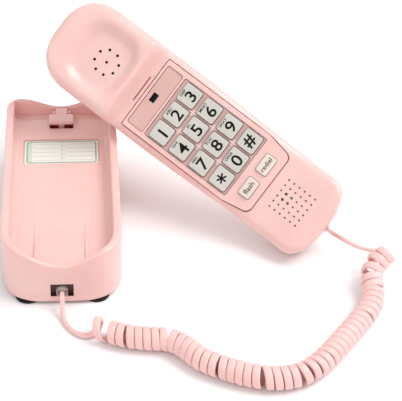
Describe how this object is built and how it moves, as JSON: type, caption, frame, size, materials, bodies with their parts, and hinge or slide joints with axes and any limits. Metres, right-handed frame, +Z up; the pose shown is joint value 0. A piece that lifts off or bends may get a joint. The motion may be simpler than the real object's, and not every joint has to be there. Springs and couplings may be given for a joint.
{
  "type": "slim desk telephone with keypad handset",
  "caption": "Slim corded desk phone in pale pink plastic: tray base with T-shaped hook lever, lighter handset with keypad in its face, curly handset cord, all off the hook",
  "frame": {"origin": "on the table under the middle of the base and handset together", "axes": "+X along the row from the base to the mouth end of the handset, +Y toward the rear of the base, +Z up"},
  "size_m": [0.2604, 0.2616, 0.136],
  "materials": {
    "shell": "semi-gloss moulded plastic",
    "plate": "fine satin",
    "panel": "satin",
    "key": "milky translucent",
    "foot": "matte",
    "dark_plastic": "satin",
    "jack_housing": "satin",
    "circuit_board": "satin",
    "steel": "plain",
    "card": "printed card stock",
    "clear": "clear plastic",
    "mat": "matte",
    "cord": "smooth flexible jacket"
  },
  "bodies": {
    "base": {"base_shell": "shell", "base_plate": "plate", "foot_front_left": "foot", "foot_front_right": "foot", "foot_rear_left": "foot", "foot_rear_right": "foot", "base_screw_1": "steel", "base_screw_2": "steel", "base_screw_3": "steel", "base_board": "circuit_board", "bell_sounder": "dark_plastic", "ballast_weight": "steel", "hook_switch": "dark_plastic", "front_jack": "jack_housing", "line_jack": "jack_housing", "index_card": "card", "card_window": "clear", "hook_pin": "steel", "plug_base": "clear", "cord_lead_base": "cord", "cord_coil": "cord", "cord_lead_handset": "cord"},
    "handset": {"handset_front": "shell", "handset_back": "shell", "handset_screw_1": "steel", "handset_screw_2": "steel", "hook_panel": "panel", "slot_liner": "dark_plastic", "keypad_plate": "panel", "key_mat": "mat", "keypad_board": "circuit_board", "receiver_capsule": "dark_plastic", "microphone": "steel", "handset_jack": "jack_housing", "plug_handset": "clear"},
    "hook_lever": {"hook_lever": "shell"},
    "ringer_switch": {"ringer_switch": "dark_plastic"},
    "key_1": {"key_1": "key"},
    "key_2": {"key_2": "key"},
    "key_3": {"key_3": "key"},
    "key_4": {"key_4": "key"},
    "key_5": {"key_5": "key"},
    "key_6": {"key_6": "key"},
    "key_7": {"key_7": "key"},
    "key_8": {"key_8": "key"},
    "key_9": {"key_9": "key"},
    "key_star": {"key_star": "key"},
    "key_0": {"key_0": "key"},
    "key_hash": {"key_hash": "key"},
    "key_flash": {"key_flash": "key"},
    "key_redial": {"key_redial": "key"}
  },
  "joints": [
    {"name": "handset_lift", "type": "slide", "parent": "base", "child": "handset", "axis": [0, 0, 1], "range_m": [0, 0.2]},
    {"name": "hook_press", "type": "hinge", "parent": "base", "child": "hook_lever", "pos_m": [-0.07489, 0.06547, 0.04565], "axis": [1, 0, 0], "range_deg": [0, 5], "stiffness_Nm_per_rad": 0.12, "springref_deg": -2.86},
    {"name": "ringer_slide", "type": "slide", "parent": "base", "child": "ringer_switch", "axis": [0, 1, 0], "range_m": [-0.003, 0.003]},
    {"name": "press_1", "type": "slide", "parent": "handset", "child": "key_1", "axis": [0.1919, 0.7656, -0.614], "range_m": [0, 0.0012], "stiffness_N_per_m": 500, "springref_m": -0.0006},
    {"name": "press_2", "type": "slide", "parent": "handset", "child": "key_2", "axis": [0.1919, 0.7656, -0.614], "range_m": [0, 0.0012], "stiffness_N_per_m": 500, "springref_m": -0.0006},
    {"name": "press_3", "type": "slide", "parent": "handset", "child": "key_3", "axis": [0.1919, 0.7656, -0.614], "range_m": [0, 0.0012], "stiffness_N_per_m": 500, "springref_m": -0.0006},
    {"name": "press_4", "type": "slide", "parent": "handset", "child": "key_4", "axis": [0.1919, 0.7656, -0.614], "range_m": [0, 0.0012], "stiffness_N_per_m": 500, "springref_m": -0.0006},
    {"name": "press_5", "type": "slide", "parent": "handset", "child": "key_5", "axis": [0.1919, 0.7656, -0.614], "range_m": [0, 0.0012], "stiffness_N_per_m": 500, "springref_m": -0.0006},
    {"name": "press_6", "type": "slide", "parent": "handset", "child": "key_6", "axis": [0.1919, 0.7656, -0.614], "range_m": [0, 0.0012], "stiffness_N_per_m": 500, "springref_m": -0.0006},
    {"name": "press_7", "type": "slide", "parent": "handset", "child": "key_7", "axis": [0.1919, 0.7656, -0.614], "range_m": [0, 0.0012], "stiffness_N_per_m": 500, "springref_m": -0.0006},
    {"name": "press_8", "type": "slide", "parent": "handset", "child": "key_8", "axis": [0.1919, 0.7656, -0.614], "range_m": [0, 0.0012], "stiffness_N_per_m": 500, "springref_m": -0.0006},
    {"name": "press_9", "type": "slide", "parent": "handset", "child": "key_9", "axis": [0.1919, 0.7656, -0.614], "range_m": [0, 0.0012], "stiffness_N_per_m": 500, "springref_m": -0.0006},
    {"name": "press_star", "type": "slide", "parent": "handset", "child": "key_star", "axis": [0.1919, 0.7656, -0.614], "range_m": [0, 0.0012], "stiffness_N_per_m": 500, "springref_m": -0.0006},
    {"name": "press_0", "type": "slide", "parent": "handset", "child": "key_0", "axis": [0.1919, 0.7656, -0.614], "range_m": [0, 0.0012], "stiffness_N_per_m": 500, "springref_m": -0.0006},
    {"name": "press_hash", "type": "slide", "parent": "handset", "child": "key_hash", "axis": [0.1919, 0.7656, -0.614], "range_m": [0, 0.0012], "stiffness_N_per_m": 500, "springref_m": -0.0006},
    {"name": "press_flash", "type": "slide", "parent": "handset", "child": "key_flash", "axis": [0.1919, 0.7656, -0.614], "range_m": [0, 0.0012], "stiffness_N_per_m": 500, "springref_m": -0.0006},
    {"name": "press_redial", "type": "slide", "parent": "handset", "child": "key_redial", "axis": [0.1919, 0.7656, -0.614], "range_m": [0, 0.0012], "stiffness_N_per_m": 500, "springref_m": -0.0006}
  ]
}
